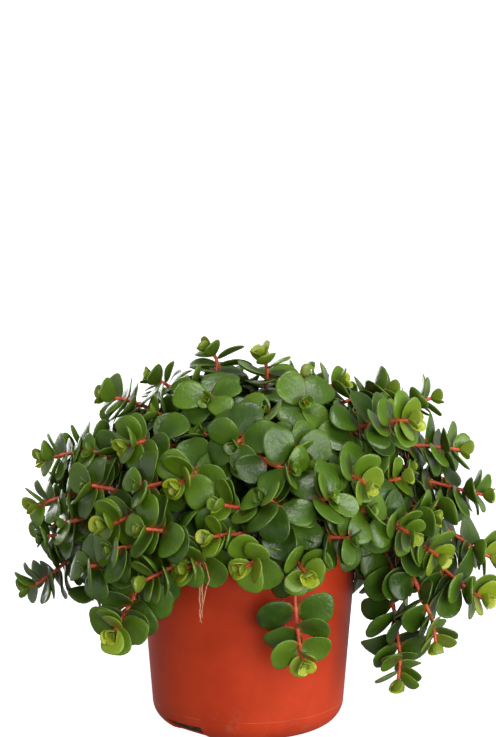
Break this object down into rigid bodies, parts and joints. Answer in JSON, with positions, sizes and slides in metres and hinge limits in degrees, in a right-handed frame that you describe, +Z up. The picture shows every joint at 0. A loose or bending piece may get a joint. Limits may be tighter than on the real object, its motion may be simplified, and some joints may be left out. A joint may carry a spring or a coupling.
{
  "type": "potted sedum",
  "caption": "Trailing round-leaved sedum in a thin round plastic nursery pot; its leafy shoots arch and spill over the rim.",
  "frame": {"origin": "middle of the pot's flat base, which is the surface that it rests on", "axes": "+Z up along the pot's axis; the side that the picture shows faces -Y, and +X is to its right"},
  "size_m": [0.2536, 0.2309, 0.1997],
  "materials": {
    "pot": "satin",
    "soil": "matte",
    "leaf": "satin",
    "stem": "satin"
  },
  "bodies": {
    "root": {"pot": "pot", "shoot_brow_far_left": "leaf", "shoot_brow_far_right": "leaf", "shoot_brow_left": "leaf", "shoot_brow_middle": "leaf", "shoot_brow_right": "leaf", "shoot_crest_far_left": "leaf", "shoot_crest_far_right": "leaf", "shoot_crest_left": "leaf", "shoot_crest_middle": "leaf", "shoot_crest_right": "leaf", "shoot_crown_left": "leaf", "shoot_crown_right": "leaf", "shoot_filling_01": "leaf", "shoot_filling_02": "leaf", "shoot_filling_03": "leaf", "shoot_filling_04": "leaf", "shoot_filling_05": "leaf", "shoot_filling_06": "leaf", "shoot_filling_07": "leaf", "shoot_filling_08": "leaf", "shoot_filling_09": "leaf", "shoot_filling_10": "leaf", "shoot_filling_11": "leaf", "shoot_filling_12": "leaf", "shoot_filling_13": "leaf", "shoot_filling_14": "leaf", "shoot_filling_15": "leaf", "shoot_filling_16": "leaf", "shoot_filling_17": "leaf", "shoot_filling_18": "leaf", "shoot_filling_19": "leaf", "shoot_filling_20": "leaf", "shoot_front_left_high": "leaf", "shoot_front_left_low": "leaf", "shoot_front_middle": "leaf", "shoot_front_rosette": "leaf", "shoot_front_trailing": "leaf", "shoot_left_high": "leaf", "shoot_left_inner": "leaf", "shoot_left_low": "leaf", "shoot_left_middle": "leaf", "shoot_left_rosette": "leaf", "shoot_right_hanging": "leaf", "shoot_right_high": "leaf", "shoot_right_inner": "leaf", "shoot_right_rosette": "leaf", "shoot_right_trailing": "leaf", "shoot_side_high": "leaf", "shoot_side_low": "leaf", "shoot_side_middle": "leaf", "shoot_side_rosette": "leaf", "shoot_upper_left": "leaf", "shoot_upper_right": "leaf", "soil": "soil"}
  },
  "joints": []
}
